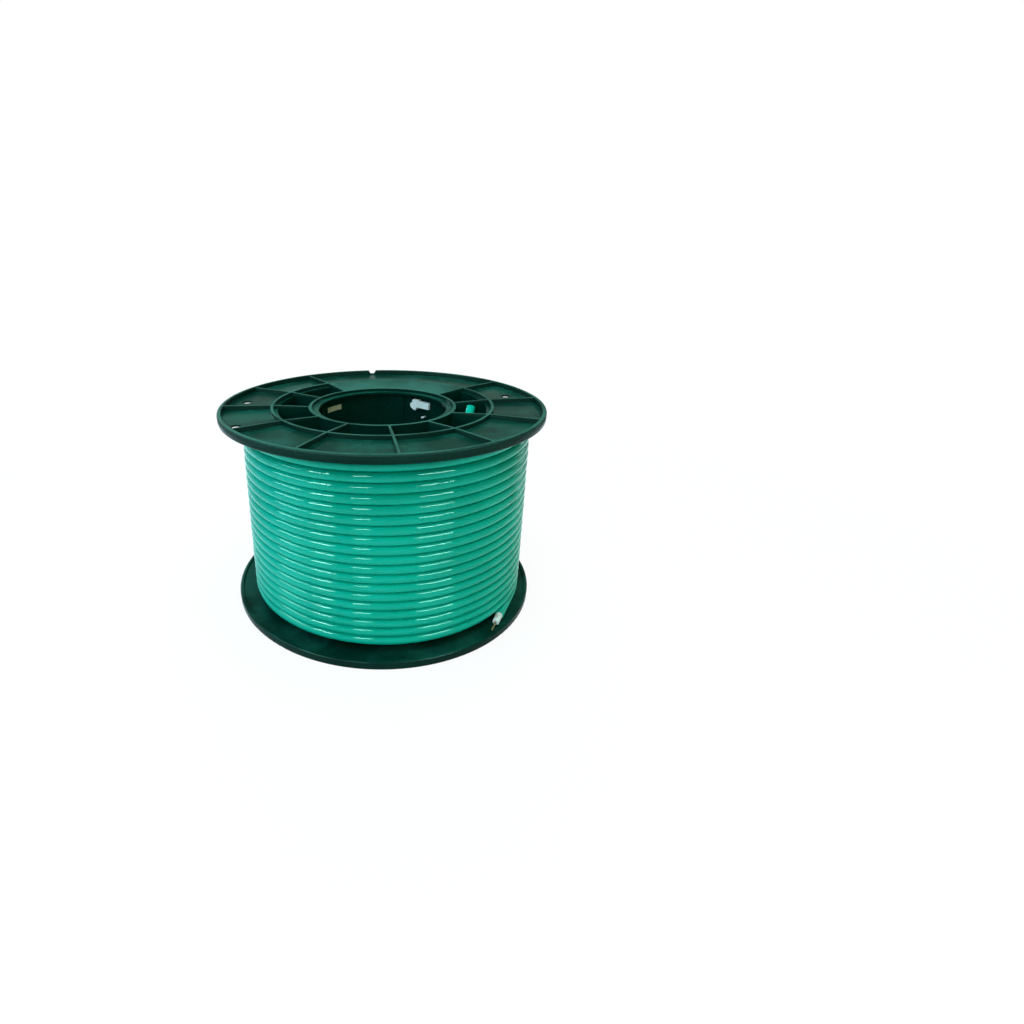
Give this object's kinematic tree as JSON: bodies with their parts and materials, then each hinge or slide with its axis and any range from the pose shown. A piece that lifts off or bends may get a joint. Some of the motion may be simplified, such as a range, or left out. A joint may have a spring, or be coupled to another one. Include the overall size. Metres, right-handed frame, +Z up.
{
  "type": "wire spool",
  "caption": "Moulded plastic spool with ribbed flanges and an open hub bore, wound with round green sheathed cable.",
  "frame": {"origin": "on the spindle axis, in the plane that the lower flange's rim stands on", "axes": "+Z up the spindle axis; +Y away from the camera of the picture; the upper flange's label panel faces +Y"},
  "size_m": [0.2, 0.2, 0.1265],
  "materials": {
    "flange_plastic": "satin moulded dark green",
    "key_plastic": "satin moulded pale grey",
    "latch_plastic": "satin moulded beige",
    "cable_sheath": "smooth extruded green, semi-gloss",
    "cable_insulation": "translucent white",
    "cable_conductor": "dull drawn wire"
  },
  "bodies": {
    "root": {"top_flange": "flange_plastic", "bottom_flange": "flange_plastic", "barrel": "flange_plastic", "hub_sleeve": "flange_plastic", "top_key_front": "key_plastic", "top_key_back": "key_plastic", "bottom_key_front": "key_plastic", "bottom_key_back": "key_plastic", "top_latch_front": "latch_plastic", "top_latch_back": "latch_plastic", "bottom_latch_front": "latch_plastic", "bottom_latch_back": "latch_plastic", "winding_core": "cable_sheath", "cable_outer_layer": "cable_sheath", "outer_end_sheath": "cable_sheath", "outer_end_insulation": "cable_insulation", "outer_end_strands": "cable_conductor", "inner_end_sheath": "cable_sheath", "inner_end_insulation": "cable_insulation", "inner_end_strands": "cable_conductor"}
  },
  "joints": []
}
